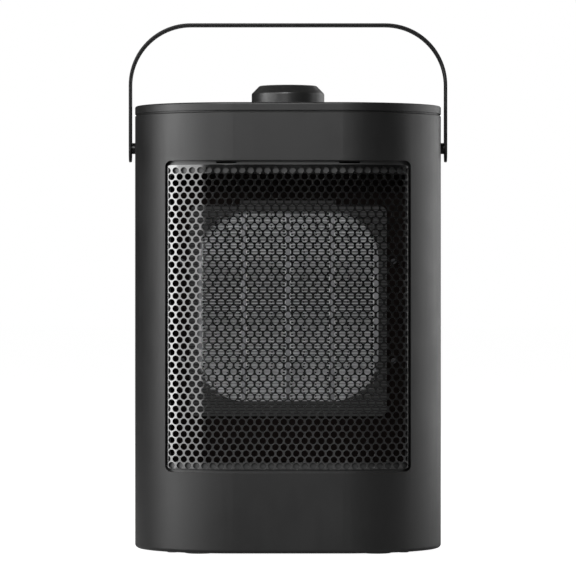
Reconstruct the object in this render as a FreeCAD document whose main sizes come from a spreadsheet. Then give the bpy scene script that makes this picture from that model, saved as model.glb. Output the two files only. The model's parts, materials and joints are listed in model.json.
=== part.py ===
"""Small ceramic space heater with a rotary switch and a folding strap handle.

Frame: millimetres, origin on the floor under the middle of the body, +Z up, the outlet grille
faces -Y and +X is on the right as seen from the front.
"""
import FreeCAD, Part
import os
import re
import Sketcher

doc = FreeCAD.newDocument("ceramic_heater")

# ---------------------------------------------------------------- driving dimensions
SIZES = {
    # play between neighbouring pieces, and how far a cut runs past the face it opens
    "play": 0.2, "over": 1.0,
    # body footprint: a rounded rectangle, given by its half sides and its corner radius
    "half_width": 84.0, "half_depth": 59.0, "corner": 54.6, "wall": 2.4,
    "shell_bottom": 1.2, "shell_top": 237.9, "seam_depth": 22.0, "seam_gap": 0.4,
    "bottom_round": 2.0, "top_round": 0.4,
    # lid
    "lid_step": 0.9, "step_inset": 1.0, "lid_top": 243.1, "lid_round": 1.0,
    "spigot_bottom": 231.0, "spigot_thick": 2.0,
    # outlet window, its grille and the frame behind it
    "window_half": 66.2, "window_low": 44.5, "window_high": 212.0, "window_round": 3.2,
    "grille_half": 65.7, "grille_low": 46.3, "grille_high": 209.7, "grille_round": 2.5,
    "grille_inset": 1.1, "grille_thick": 1.3,
    "hole_radius": 1.72, "hole_pitch": 4.48, "row_pitch": 3.375, "row_count": 48,
    "top_row": 206.7, "hole_limit": 64.5,
    "frame_thick": 2.0, "frame_low": 38.0, "frame_high": 218.0, "frame_back": -30.0,
    "opening_half": 63.3, "opening_low": 49.8, "opening_high": 205.0, "opening_round": 2.0,
    "clip_offset": 33.0, "clip_width": 11.0, "clip_height": 1.1, "clip_level": 210.9,
    # outlet duct and its baffle
    "duct_wall": 1.6, "duct_back": -30.0,
    # heater
    "heater_half": 53.5, "heater_low": 74.0, "heater_high": 188.0, "heater_round": 4.0,
    "heater_front": -34.0, "heater_back": -12.0, "heater_lip": 1.6, "heater_gap": 0.1,
    "tab_half": 26.0, "tab_rise": 3.0, "flange_half": 60.0, "flange_low": 68.0,
    "flange_high": 196.0, "flange_thick": 2.0,
    "heater_screw": 5.0, "screw_edge": 2.6, "screw_end": 30.0,
    "face_half": 49.0, "face_low": 82.0, "face_high": 185.0, "face_round": 26.0,
    "core_half": 49.3, "core_low": 80.0, "core_high": 187.0, "core_front": -31.4,
    "core_back": -15.0, "bar_spacing": 24.0, "bar_thick": 2.6, "fin_pitch": 1.6,
    "fin_thick": 0.3, "slot_height": 1.1, "slot_pitch": 3.3,
    "slot_margin": 1.2, "slot_start": 4.2, "slot_1": 14.2, "slot_2": 10.0, "slot_3": 6.9,
    "slot_4": 4.6, "slot_5": 2.8,
    "tab_width": 6.3, "tab_thick": 0.8, "tab_length": 8.0, "tab_depth": -20.0,
    "cutoff_radius": 8.0, "cutoff_height": 9.0, "cutoff_depth": -19.0,
    "cutoff_blade": 6.0, "cutoff_across": 4.0,
    "fuse_radius": 2.0, "fuse_length": 12.0, "fuse_place": 38.0, "lead_radius": 0.5,
    "lead_length": 6.0,
    # fan
    "axis_level": 131.0, "shroud_half": 60.0, "shroud_back": 22.0, "shroud_round": 6.0,
    "bore_radius": 52.0, "shroud_wall": 2.4, "shroud_flange": 3.0, "plate_radius": 23.0,
    "plate_front": 18.0, "arm_width": 6.0, "arm_lap": 2.0, "lug_screw": 14.0, "motor_screw": 8.0,
    "lug_across": 54.0, "lug_rise": 55.0, "hub_radius": 17.0, "hub_front": -6.0,
    "hub_length": 20.0, "hub_round": 3.0, "hub_wall": 2.0, "hub_web": 1.5,
    "core_radius": 5.7, "blade_reach": 49.5, "blade_root": 15.8, "blade_half": 11.0,
    "blade_rise": 8.0, "blade_thick": 1.8, "blade_count": 7,
    "motor_radius": 20.0, "motor_length": 24.0, "nose_radius": 5.8, "nose_length": 4.0,
    "shaft_radius": 2.0, "running_gap": 0.05, "shaft_length": 47.0, "motor_bolt": 14.0,
    "motor_bevel": 3.0, "tail_radius": 7.8, "tail_length": 2.0, "motor_thread": 4.5,
    # rear shell: intake window and gland
    "intake_half": 46.0, "intake_low": 62.0, "intake_high": 200.0, "intake_round": 4.0,
    "louvre_inset": 1.0, "louvre_length": 26.0, "louvre_height": 2.6, "louvre_pitch": 5.6,
    "louvre_count": 23, "louvre_column": 29.5, "louvre_round": 1.24,
    "filter_half": 48.0, "filter_low": 58.0, "filter_high": 204.0, "filter_thick": 1.2,
    "gland_level": 24.0, "gland_bore": 3.8, "gland_neck": 6.0, "gland_flange": 8.8,
    "flange_sink": 1.2, "gland_length": 13.0, "nut_thick": 4.0, "nut_radius": 9.4,
    "gland_reach": 5.0,
    # screws and their bosses
    "boss_across": 68.0, "boss_low": 34.0, "boss_high": 204.0, "boss_radius": 4.0,
    "boss_front": -6.0, "rib_back": 10.0, "rib_half": 1.2, "rib_end": 82.6,
    "pilot_radius": 1.45, "clear_radius": 1.7, "head_radius": 2.8, "head_height": 1.4,
    "sink_radius": 3.2, "sink_floor": 28.0, "recess_width": 0.9, "recess_length": 3.2,
    "recess_depth": 0.8, "post_across": 62.3, "post_deep": 37.3, "post_radius": 6.0,
    "post_top": 22.0, "lug_post": 3.5, "lug_post_end": 50.8,
    "lug_pilot": 13.0, "boss_solid": 8.0,
    "post_skin": 3.0, "shell_screw": 24.0, "base_screw": 14.0, "mid_depth": 19.7,
    "block_half": 5.0, "block_near_end": 45.5, "block_far_end": 36.5,
    # base
    "base_bottom": 2.0, "base_top": 4.8, "base_rim": 10.0, "rim_thick": 1.6,
    "foot_radius": 8.0, "foot_across": 48.0, "foot_deep": 34.0, "foot_round": 0.6,
    # rotary switch and knob
    "switch_half": 14.0, "switch_low": 226.6, "switch_round": 2.0, "switch_floor": 2.0,
    "terminal_spot": 8.0, "lid_under": 240.6, "neck_radius": 5.0,
    "neck_top": 246.4, "dial_shaft": 3.0, "dial_low": 229.0, "dial_top": 252.0,
    "dial_flat": 2.3, "ring_nut": 6.6, "ring_nut_thick": 2.0,
    "knob_radius": 20.0, "knob_low": 243.6, "knob_side": 250.3, "knob_top": 254.7,
    "knob_crown": 15.7, "knob_skirt": 2.2, "knob_hollow": 249.4, "knob_boss": 6.5,
    "boss_under": 247.2, "knob_round": 1.4, "pointer_width": 1.6, "pointer_start": 5.0,
    "pointer_end": 13.0, "pointer_depth": 0.5,
    # handle
    "pivot_level": 220.3, "strap_outer": 87.5, "strap_thick": 1.5, "strap_width": 13.0,
    "strap_round": 0.4,
    "strap_top": 288.9, "strap_bend": 34.0, "strap_end": 212.7, "end_round": 6.3,
    "collar_radius": 3.05, "collar_gap": 0.15, "pin_inner": 73.5, "clip_low": 74.3,
    "clip_high": 75.3, "clip_mouth": 1.2, "groove_radius": 1.5, "clip_radius": 4.2, "bush_radius": 4.0,
    "bush_inner": 76.0, "washer_low": 75.45, "washer_radius": 5.5, "hub_boss": 8.0,
    # tip-over switch
    "tip_across": -30.0, "tip_deep": 18.0, "plunger_radius": 3.0, "flange_radius": 5.0,
    "plunger_round": 0.6, "flange_bottom": 14.2, "flange_top": 15.5, "stem_radius": 2.0, "stem_top": 24.0,
    "guide_radius": 7.0, "guide_step": 9.0, "chamber_radius": 5.2, "guide_top": 22.0,
    "spring_radius": 3.4, "spring_wire": 0.35, "spring_turns": 5.0, "switch_long": 22.0,
    "switch_deep": 10.0, "switch_tall": 12.0, "switch_roof": 3.0,
    # terminal block
    "block_start": 16.0, "block_long": 36.0, "block_front": -10.0, "block_deep": 16.0,
    "block_tall": 13.0, "block_screw": 2.6, "well_count": 4,
    # wiring
    "wire_radius": 1.2, "wire_across": 66.0, "wire_front": -10.0, "wire_start": 24.0,
    "wire_high": 212.0, "wire_next": 210.0, "heater_wire": 58.0, "return_wire": 50.0,
    "motor_wire": 42.0, "wire_back": 34.0,
}

sheet = doc.addObject("Spreadsheet::Sheet", "Sizes")
for row, (alias, number) in enumerate(SIZES.items(), start=1):
    sheet.set(f"A{row}", alias)
    sheet.set(f"B{row}", str(number))
    sheet.setAlias(f"B{row}", alias)
doc.recompute()


def bound(text):
    """An expression over the sheet's aliases, as any object of the document reads it."""
    return re.sub(r"[a-z]\w*", r"Sizes.\g<0>", text)


def size(text):
    """The number that an expression over the sheet's aliases gives."""
    return float(sheet.evalExpression(text))


def bind(thing, path, text):
    thing.setExpression(path, bound(text))


# ---------------------------------------------------------------- sketches
def new_sketch(body, role, offset):
    sketch = body.newObject("Sketcher::SketchObject", body.Name + "_sketch")
    plane = next(item for item in body.Origin.OriginFeatures if item.Role == role)
    sketch.AttachmentSupport = [(plane, "")]
    sketch.MapMode = "FlatFace"
    bind(sketch, "AttachmentOffset.Base.z", offset)
    sketch.AttachmentOffset = FreeCAD.Placement(FreeCAD.Vector(0, 0, size(offset)),
                                                FreeCAD.Rotation())
    return sketch


def constrain(sketch, kind, *references, to=None):
    """Adds one constraint; a dimension follows the expression in to."""
    if to is None:
        sketch.addConstraint(Sketcher.Constraint(kind, *references))
        return
    index = sketch.addConstraint(Sketcher.Constraint(kind, *references, size(to)))
    sketch.setExpression(f"Constraints[{index}]", bound(to))


def pin(sketch, edge, end, across, up):
    """Places one end of an edge, or a circle's centre, from the sketch's origin."""
    constrain(sketch, "DistanceX", -1, 1, edge, end, to=across)
    constrain(sketch, "DistanceY", -1, 1, edge, end, to=up)


def circle(sketch, radius, across="0", up="0"):
    centre = FreeCAD.Vector(size(across), size(up), 0)
    edge = sketch.addGeometry(Part.Circle(centre, FreeCAD.Vector(0, 0, 1), size(radius)))
    constrain(sketch, "Radius", edge, to=radius)
    pin(sketch, edge, 3, across, up)


def polygon(sketch, corners):
    """A closed outline of straight lines through corners, each a pair of expressions."""
    points = [FreeCAD.Vector(size(across), size(up), 0) for across, up in corners]
    edges = [sketch.addGeometry(Part.LineSegment(point, points[(index + 1) % len(points)]))
             for index, point in enumerate(points)]
    for index, edge in enumerate(edges):
        constrain(sketch, "Coincident", edge, 2, edges[(index + 1) % len(edges)], 1)
        pin(sketch, edge, 1, *corners[index])


def rectangle(sketch, left, right, low, high):
    polygon(sketch, [(left, low), (right, low), (right, high), (left, high)])


def rounded(sketch, left, right, low, high, radius):
    """A rectangle whose four corners are arcs of one radius, tangent to its sides."""
    west, east, south, north, turn = (size(text) for text in (left, right, low, high, radius))
    line, place = Part.LineSegment, FreeCAD.Vector

    def quarter(across, up, start):
        whole = Part.Circle(place(across, up, 0), place(0, 0, 1), turn)
        return Part.ArcOfCircle(whole, start, start + 1.5707963267948966)

    first = sketch.addGeometry(line(place(west + turn, south, 0), place(east - turn, south, 0)))
    sketch.addGeometry(quarter(east - turn, south + turn, -1.5707963267948966))
    sketch.addGeometry(line(place(east, south + turn, 0), place(east, north - turn, 0)))
    sketch.addGeometry(quarter(east - turn, north - turn, 0))
    sketch.addGeometry(line(place(east - turn, north, 0), place(west + turn, north, 0)))
    sketch.addGeometry(quarter(west + turn, north - turn, 1.5707963267948966))
    sketch.addGeometry(line(place(west, north - turn, 0), place(west, south + turn, 0)))
    sketch.addGeometry(quarter(west + turn, south + turn, 3.141592653589793))
    for step in range(8):
        constrain(sketch, "Tangent", first + step, 2, first + (step + 1) % 8, 1)
    constrain(sketch, "Horizontal", first)
    constrain(sketch, "Horizontal", first + 4)
    constrain(sketch, "Vertical", first + 2)
    constrain(sketch, "Vertical", first + 6)
    for step in (3, 5, 7):
        constrain(sketch, "Equal", first + 1, first + step)
    constrain(sketch, "Radius", first + 1, to=radius)
    constrain(sketch, "DistanceY", -1, 1, first, 1, to=low)
    constrain(sketch, "DistanceX", -1, 1, first + 2, 1, to=right)
    constrain(sketch, "DistanceY", -1, 1, first + 4, 1, to=high)
    constrain(sketch, "DistanceX", -1, 1, first + 6, 1, to=left)


def footprint(sketch, inset="0"):
    """The body's outline, drawn in by inset on every side."""
    rounded(sketch, f"{inset} - half_width", f"half_width - ({inset})",
            f"{inset} - half_depth", f"half_depth - ({inset})", f"corner - ({inset})")


def ring(sketch, outer, inner):
    footprint(sketch, outer)
    footprint(sketch, inner)


# ---------------------------------------------------------------- features of a body
PLANES = {"x": "YZ_Plane", "y": "XZ_Plane", "z": "XY_Plane"}
PIECES = []


def new_body(label):
    body = doc.addObject("PartDesign::Body", label)
    body.Label = label
    PIECES.append(label)
    return body


def prism(body, kind, axis, low, high, draw):
    """Pads or pockets what draw puts in a sketch, from low to high along an axis."""
    sketch = new_sketch(body, PLANES[axis], f"-({high})" if axis == "y" else low)
    draw(sketch)
    feature = body.newObject("PartDesign::" + kind, body.Name + "_" + kind.lower())
    feature.Profile = sketch
    feature.Length = size(f"({high}) - ({low})")
    bind(feature, "Length", f"({high}) - ({low})")
    feature.Reversed = kind == "Pocket"
    return feature


def pad(body, axis, low, high, draw):
    return prism(body, "Pad", axis, low, high, draw)


def pocket(body, axis, low, high, draw):
    return prism(body, "Pocket", axis, low, high, draw)


def trim(body, inset, low, high):
    """Takes away everything outside the footprint drawn in by inset."""
    def surround(sketch):
        rectangle(sketch, "-2 * half_width", "2 * half_width", "-2 * half_depth",
                  "2 * half_depth")
        footprint(sketch, inset)
    pocket(body, "z", low, high, surround)


def fillet(body, radius, wanted, kind="Fillet"):
    """Rounds, or bevels, the edges of the body so far that wanted picks."""
    doc.recompute()
    base = body.Tip
    names = [f"Edge{index}" for index, edge in enumerate(base.Shape.Edges, start=1)
             if wanted(edge.BoundBox)]
    feature = body.newObject("PartDesign::" + kind, body.Name + "_" + kind.lower())
    feature.Base = (base, names)
    bind(feature, "Radius" if kind == "Fillet" else "Size", radius)


def level(height):
    """Picks the edges that lie at one height."""
    return lambda box: abs(box.ZMin - size(height)) + abs(box.ZMax - size(height)) < 1e-3


def turned(label, profile, fillets=()):
    """A body of revolution about Z; profile is a closed outline of (radius, height) pairs."""
    body = new_body(label)
    sketch = new_sketch(body, "XZ_Plane", "0")
    polygon(sketch, profile)
    feature = body.newObject("PartDesign::Revolution", label + "_revolution")
    feature.Profile = sketch
    feature.ReferenceAxis = (sketch, ["V_Axis"])
    feature.Angle = 360
    for radius, wanted in fillets:
        fillet(body, radius, wanted)
    return body


TURNS = {"z": FreeCAD.Rotation(),
         "-z": FreeCAD.Rotation(FreeCAD.Vector(1, 0, 0), 180),
         "x": FreeCAD.Rotation(FreeCAD.Vector(0, 1, 0), 90),
         "-x": FreeCAD.Rotation(FreeCAD.Vector(0, 1, 0), -90),
         "y": FreeCAD.Rotation(FreeCAD.Vector(1, 0, 0), -90),
         "-y": FreeCAD.Rotation(FreeCAD.Vector(1, 0, 0), 90)}


def place(thing, across="0", deep="0", up="0", along="z"):
    """Moves a piece to a point and turns its own Z axis along a direction."""
    thing.Placement = FreeCAD.Placement(FreeCAD.Vector(0, 0, 0), TURNS[along])
    for axis, text in (("x", across), ("y", deep), ("z", up)):
        bind(thing, f"Placement.Base.{axis}", text)
    return thing


# ---------------------------------------------------------------- primitives and booleans
def box(label, x_span, y_span, z_span):
    solid = doc.addObject("Part::Box", label)
    for side, axis, (low, high) in zip(("Length", "Width", "Height"), "xyz",
                                       (x_span, y_span, z_span)):
        bind(solid, side, f"({high}) - ({low})")
        bind(solid, f"Placement.Base.{axis}", low)
    return solid


def cylinder(label, radius, length, across="0", deep="0", up="0", along="z"):
    solid = doc.addObject("Part::Cylinder", label)
    bind(solid, "Radius", radius)
    bind(solid, "Height", length)
    return place(solid, across, deep, up, along)


def joined(label, *parts):
    whole = doc.addObject("Part::MultiFuse", label)
    whole.Shapes = list(parts)
    return whole


def cut(label, base, *tools):
    whole = doc.addObject("Part::Cut", label)
    whole.Base = base
    whole.Tool = tools[0] if len(tools) == 1 else joined(label + "_tools", *tools)
    return whole


def group(label, *solids):
    """Several identical loose pieces that share one node."""
    whole = doc.addObject("Part::Compound", label)
    whole.Links = list(solids)
    PIECES.append(label)
    return whole


def piece(thing):
    PIECES.append(thing.Label)
    return thing


def screw(label, length, across, deep, up, along):
    """A pan-head screw; its seat is at the point given and its head points along."""
    body = joined(label + "_blank",
                  cylinder(label + "_head", "head_radius", "head_height"),
                  cylinder(label + "_shank", "pilot_radius", length, up=f"-({length})"))
    span = ("-recess_length / 2", "recess_length / 2")
    width = ("-recess_width / 2", "recess_width / 2")
    sink = ("head_height - recess_depth", "head_height + over")
    cross = (box(label + "_slot", span, width, sink), box(label + "_bar", width, span, sink))
    return place(cut(label, body, *cross), across, deep, up, along)


def screws(label, length, spots, along):
    return group(label, *(screw(f"{label}_{index}", length, *spot, along)
                          for index, spot in enumerate(spots, start=1)))


SIDES = (("left", "-1"), ("right", "1"))
SHELL_BOSSES = [(f"{sign} * boss_across", height)
                for _, sign in SIDES for height in ("boss_low", "boss_high")]
LUGS = [(f"{sign} * lug_across", f"axis_level + {rise} * lug_rise")
        for _, sign in SIDES for rise in (-1, 1)]


# ---------------------------------------------------------------- shells, lid and base
def shell_wall(label):
    """The closed wall of the body, rounded at its lower edge, before its halves part."""
    body = new_body(label)
    pad(body, "z", "shell_bottom", "shell_top", footprint)
    fillet(body, "bottom_round", level("shell_bottom"))
    fillet(body, "top_round", level("shell_top"), "Chamfer")
    pocket(body, "z", "shell_bottom - over", "shell_top + over",
           lambda sketch: footprint(sketch, "wall"))
    return body


def cover(sketch, low, high):
    rectangle(sketch, "-half_width - 2 * over", "half_width + 2 * over", low, high)


def spots(radius, places):
    """Draws one circle of the same radius at each place."""
    def draw(sketch):
        for across, up in places:
            circle(sketch, radius, across, up)
    return draw


def front_shell():
    body = shell_wall("front_shell")
    pocket(body, "z", "shell_bottom - over", "shell_top + over",
           lambda sketch: cover(sketch, "seam_depth - seam_gap / 2", "half_depth + 2 * over"))
    pocket(body, "y", "-half_depth - over", "-mid_depth",
           lambda sketch: rounded(sketch, "-window_half", "window_half", "window_low",
                                  "window_high", "window_round"))
    pad(body, "y", "boss_front", "seam_depth", spots("boss_radius", SHELL_BOSSES))
    for name, sign in SIDES:
        inner, outer = f"{sign} * boss_across", f"{sign} * rib_end"
        low, high = (outer, inner) if name == "left" else (inner, outer)
        for height in ("boss_low", "boss_high"):
            pad(body, "y", "boss_front", "rib_back",
                lambda sketch: rectangle(sketch, low, high, f"{height} - rib_half",
                                         f"{height} + rib_half"))
        near, far = ("-half_width + wall / 2", "-bush_inner")
        if name == "right":
            near, far = ("bush_inner", "half_width - wall / 2")
        pad(body, "x", near, far, lambda sketch: circle(sketch, "hub_boss", "0", "pivot_level"))
        outside = ("-half_width - over", "over - bush_inner")
        if name == "right":
            outside = ("bush_inner - over", "half_width + over")
        pocket(body, "x", *outside,
               lambda sketch: circle(sketch, "bush_radius", "0", "pivot_level"))
    pocket(body, "y", "boss_front + boss_solid", "seam_depth + over", spots("pilot_radius", SHELL_BOSSES))
    posts = [(f"{sign} * post_across", "-post_deep") for _, sign in SIDES]
    pad(body, "z", "base_top", "post_top", spots("post_radius", posts))
    pocket(body, "z", "base_top - over", "post_top - post_skin", spots("pilot_radius", posts))


def rear_shell():
    body = shell_wall("rear_shell")
    pocket(body, "z", "shell_bottom - over", "shell_top + over",
           lambda sketch: cover(sketch, "-half_depth - 2 * over", "seam_depth + seam_gap / 2"))
    pocket(body, "y", "mid_depth", "half_depth + over",
           lambda sketch: rounded(sketch, "-intake_half", "intake_half", "intake_low",
                                  "intake_high", "intake_round"))
    for _, sign in SIDES:
        near = f"{sign} * (boss_across - block_half)"
        far = f"{sign} * (boss_across + block_half)"
        corners = [(near, "seam_depth"), (far, "seam_depth"), (far, "block_far_end"),
                   (near, "block_near_end")]
        for height in ("boss_low", "boss_high"):
            pad(body, "z", f"{height} - block_half", f"{height} + block_half",
                lambda sketch: polygon(sketch, corners))
    pad(body, "y", "shroud_back", "lug_post_end", spots("lug_post", LUGS))
    pocket(body, "y", "sink_floor", "half_depth", spots("sink_radius", SHELL_BOSSES))
    pocket(body, "y", "seam_depth - over", "sink_floor + over", spots("clear_radius", SHELL_BOSSES))
    pocket(body, "y", "shroud_back - over", "shroud_back + lug_pilot", spots("pilot_radius", LUGS))
    posts = [(f"{sign} * post_across", "post_deep") for _, sign in SIDES]
    pad(body, "z", "base_top", "post_top", spots("post_radius", posts))
    pocket(body, "z", "base_top - over", "post_top - post_skin", spots("pilot_radius", posts))
    pocket(body, "y", "half_depth - flange_sink", "half_depth + over",
           lambda sketch: circle(sketch, "gland_flange", "0", "gland_level"))
    pocket(body, "y", "half_depth - gland_reach", "half_depth + over",
           lambda sketch: circle(sketch, "gland_neck", "0", "gland_level"))


def rear_grille():
    """A curved panel with three columns of level slots, flush in the intake window."""
    body = new_body("rear_grille")
    pad(body, "z", "intake_low", "intake_high",
        lambda sketch: ring(sketch, "louvre_inset", "wall"))
    pocket(body, "z", "intake_low - over", "intake_high + over",
           lambda sketch: cover(sketch, "-half_depth - over", "mid_depth"))

    def surround(sketch):
        rectangle(sketch, "-half_width - over", "half_width + over", "intake_low - 5 * over",
                  "intake_high + 5 * over")
        rounded(sketch, "-intake_half", "intake_half", "intake_low", "intake_high",
                "intake_round")
    pocket(body, "y", "mid_depth - over", "half_depth + over", surround)

    def slot_row(sketch):
        first = "intake_low + (intake_high - intake_low - louvre_pitch * (louvre_count - 1)) / 2"
        for column in (-1, 0, 1):
            middle = f"{column} * louvre_column"
            rounded(sketch, f"{middle} - louvre_length / 2", f"{middle} + louvre_length / 2",
                    f"{first} - louvre_height / 2", f"{first} + louvre_height / 2",
                    "louvre_round")
    row = pocket(body, "y", "mid_depth", "half_depth + over", slot_row)
    doc.recompute()
    rows = body.newObject("PartDesign::LinearPattern", "rear_grille_rows")
    rows.Originals = [row]
    rows.Direction = (row.Profile[0], ["V_Axis"])
    rows.Length = size("louvre_pitch * (louvre_count - 1)")
    bind(rows, "Length", "louvre_pitch * (louvre_count - 1)")
    rows.Occurrences = int(size("louvre_count"))
    bind(rows, "Occurrences", "louvre_count")
    body.Tip = rows


def intake_filter():
    """A thin sheet of open mesh that lies against the inside of the intake panel."""
    body = new_body("intake_filter")
    pad(body, "z", "filter_low", "filter_high",
        lambda sketch: ring(sketch, "wall", "wall + filter_thick"))
    pocket(body, "z", "filter_low - over", "filter_high + over",
           lambda sketch: cover(sketch, "-half_depth - over", "mid_depth"))
    for name, _ in SIDES:
        edges = ("-half_width", "-filter_half")
        if name == "right":
            edges = ("filter_half", "half_width")
        pocket(body, "z", "filter_low - over", "filter_high + over",
               lambda sketch: rectangle(sketch, *edges, "-half_depth", "half_depth"))


def top_lid():
    body = new_body("top_lid")
    pad(body, "z", "shell_top + lid_step", "lid_top", footprint)
    fillet(body, "lid_round", level("lid_top"))
    pad(body, "z", "shell_top", "shell_top + lid_step",
        lambda sketch: footprint(sketch, "step_inset"))
    pad(body, "z", "spigot_bottom", "shell_top", lambda sketch: footprint(sketch, "wall"))
    pocket(body, "z", "spigot_bottom - over", "lid_under",
           lambda sketch: footprint(sketch, "wall + spigot_thick"))
    pocket(body, "z", "lid_under - over", "lid_top + over",
           lambda sketch: circle(sketch, "neck_radius"))


def base_cover():
    body = new_body("base_cover")
    pad(body, "z", "base_bottom", "base_top", lambda sketch: footprint(sketch, "wall"))
    pad(body, "z", "base_top", "base_rim",
        lambda sketch: ring(sketch, "wall", "wall + rim_thick"))
    corners = [(f"{sign} * post_across", f"{side} * post_deep")
               for _, sign in SIDES for side in (-1, 1)]
    pocket(body, "z", "base_top", "base_rim + over", spots("post_radius + play", corners))
    pocket(body, "z", "base_bottom - over", "base_top + over", spots("clear_radius", corners))
    pocket(body, "z", "base_bottom - over", "base_top + over",
           lambda sketch: circle(sketch, "plunger_radius + 2 * play", "tip_across", "tip_deep"))
    screws("base_screws", "base_screw",
           [(across, deep, "base_bottom") for across, deep in corners], "-z")


def foot_pads():
    for side, sign in SIDES:
        for end, deep in (("front", "-1"), ("rear", "1")):
            foot = turned(f"foot_pad_{end}_{side}",
                          [("0", "0"), ("foot_radius", "0"), ("foot_radius", "base_bottom"),
                           ("0", "base_bottom")], [("foot_round", level("0"))])
            place(foot, f"{sign} * foot_across", f"{deep} * foot_deep")


# ---------------------------------------------------------------- outlet
def outline_face(inset, height):
    """The footprint as a face at one height, for shapes cut in bulk."""
    across, deep, turn = (size(text) for text in (f"half_width - ({inset})",
                                                  f"half_depth - ({inset})",
                                                  f"corner - ({inset})"))
    plate = Part.makePlane(2 * across, 2 * deep, FreeCAD.Vector(-across, -deep, height))
    edges = plate.extrude(FreeCAD.Vector(0, 0, 1))
    upright = [edge for edge in edges.Edges if edge.BoundBox.ZLength > 0.5]
    rounded_plate = edges.makeFillet(turn, upright)
    return min(rounded_plate.Faces, key=lambda face: face.CenterOfMass.z)


def front_grille():
    """A curved perforated sheet: round holes along Y in staggered rows."""
    low, high = size("grille_low"), size("grille_high")
    rise = FreeCAD.Vector(0, 0, high - low)
    band = outline_face("grille_inset", low).extrude(rise)
    band = band.cut(outline_face("grille_inset + grille_thick", low).extrude(rise))
    half, deep = size("grille_half"), size("half_depth")
    panel = Part.makeBox(2 * half, deep, high - low, FreeCAD.Vector(-half, -deep, low))
    upright = [edge for edge in panel.Edges if edge.BoundBox.YLength > 1]
    panel = panel.makeFillet(size("grille_round"), upright).common(band)
    radius, limit = size("hole_radius"), size("hole_limit")
    pitch = size("hole_pitch")
    hole = Part.makeCylinder(radius, deep, FreeCAD.Vector(0, -deep - 1, 0),
                             FreeCAD.Vector(0, 1, 0))
    field = Part.makeBox(2 * limit, 2 * deep, 2 * high, FreeCAD.Vector(-limit, -2 * deep, 0))
    holes = []
    for row in range(int(size("row_count"))):
        height = size("top_row") - row * size("row_pitch")
        shift = 0.5 if row % 2 == 0 else 0.0
        reach = int((limit + radius) / pitch - shift)
        for column in range(-reach - int(2 * shift), reach + 1):
            across = (column + shift) * pitch
            tool = hole.translated(FreeCAD.Vector(across, 0, height))
            holes.append(tool.common(field) if abs(across) + radius > limit else tool)
    grille = doc.addObject("Part::Feature", "front_grille")
    grille.Shape = panel.cut(Part.makeCompound(holes))
    grille.Placement = FreeCAD.Placement()
    piece(grille)


def grille_frame():
    body = new_body("grille_frame")
    pad(body, "z", "frame_low", "frame_high",
        lambda sketch: ring(sketch, "wall", "wall + frame_thick"))
    pocket(body, "z", "frame_low - over", "frame_high + over",
           lambda sketch: cover(sketch, "frame_back", "half_depth + over"))
    pocket(body, "y", "-half_depth - over", "frame_back + over",
           lambda sketch: rounded(sketch, "-opening_half", "opening_half", "opening_low",
                                  "opening_high", "opening_round"))

    def clip_slots(sketch):
        for _, sign in SIDES:
            middle = f"{sign} * clip_offset"
            rectangle(sketch, f"{middle} - clip_width / 2", f"{middle} + clip_width / 2",
                      "clip_level - clip_height / 2", "clip_level + clip_height / 2")
    pocket(body, "y", "-half_depth - over", "frame_back + over", clip_slots)


def outlet_duct():
    """A short square tunnel from the frame back to a baffle around the heater."""
    def tunnel(sketch, extra):
        rounded(sketch, f"-opening_half - {extra}", f"opening_half + {extra}",
                f"opening_low - {extra}", f"opening_high + {extra}",
                f"opening_round + {extra}")
    body = new_body("outlet_duct")
    pad(body, "y", "-half_depth", "duct_back", lambda sketch: tunnel(sketch, "duct_wall"))
    pocket(body, "y", "-half_depth - over", "duct_back - duct_wall",
           lambda sketch: tunnel(sketch, "0"))

    def heater_hole(sketch):
        rounded(sketch, "-heater_half - heater_gap", "heater_half + heater_gap",
                "heater_low - heater_gap", "heater_high + heater_gap", "heater_round")
    pocket(body, "y", "-half_depth - over", "duct_back + over", heater_hole)
    pocket(body, "y", "-half_depth - over", "duct_back + over",
           lambda sketch: rectangle(sketch, "-tab_half - heater_gap", "tab_half + heater_gap",
                                    "heater_high - over", "heater_high + tab_rise + heater_gap"))
    pocket(body, "y", "-half_depth - over", "duct_back + over",
           spots("pilot_radius", HEATER_SCREWS))
    trim(body, "wall + frame_thick", "frame_low", "frame_high")


# ---------------------------------------------------------------- heater
HEATER_SCREWS = [(f"{sign} * (flange_half - screw_edge)", height) for _, sign in SIDES
                 for height in ("heater_low + screw_end", "heater_high - screw_end")]


def heater_frame():
    """A plastic frame whose rounded face shows the fins, with louvred corners."""
    body = new_body("heater_frame")
    pad(body, "y", "heater_front", "heater_back",
        lambda sketch: rounded(sketch, "-heater_half", "heater_half", "heater_low",
                               "heater_high", "heater_round"))
    pad(body, "y", "heater_front", "heater_back",
        lambda sketch: rectangle(sketch, "-tab_half", "tab_half", "heater_high - 2 * over",
                                 "heater_high + tab_rise"))
    pad(body, "y", "duct_back", "duct_back + flange_thick",
        lambda sketch: rounded(sketch, "-flange_half", "flange_half", "flange_low",
                               "flange_high", "heater_round"))
    pocket(body, "y", "heater_front + heater_lip", "heater_back + over",
           lambda sketch: rectangle(sketch, "-core_half", "core_half", "core_low",
                                    "core_high"))
    pocket(body, "y", "heater_front - over", "heater_back",
           lambda sketch: rounded(sketch, "-face_half", "face_half", "face_low", "face_high",
                                  "face_round"))

    def corner_slots(sketch):
        for count in range(5):
            low = f"face_low - slot_margin + slot_start + {count} * slot_pitch"
            high = f"face_high + slot_margin - slot_start - {count} * slot_pitch"
            reach = f"slot_{count + 1} + slot_margin"
            for bottom, top in ((low, f"{low} + slot_height"), (f"{high} - slot_height", high)):
                rectangle(sketch, "-face_half", f"-face_half + {reach}", bottom, top)
                rectangle(sketch, f"face_half - ({reach})", "face_half", bottom, top)
    pocket(body, "y", "heater_front - over", "heater_front + heater_lip + over / 2",
           corner_slots)
    pocket(body, "y", "duct_back - over", "duct_back + flange_thick + over",
           spots("pilot_radius", HEATER_SCREWS))


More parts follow.
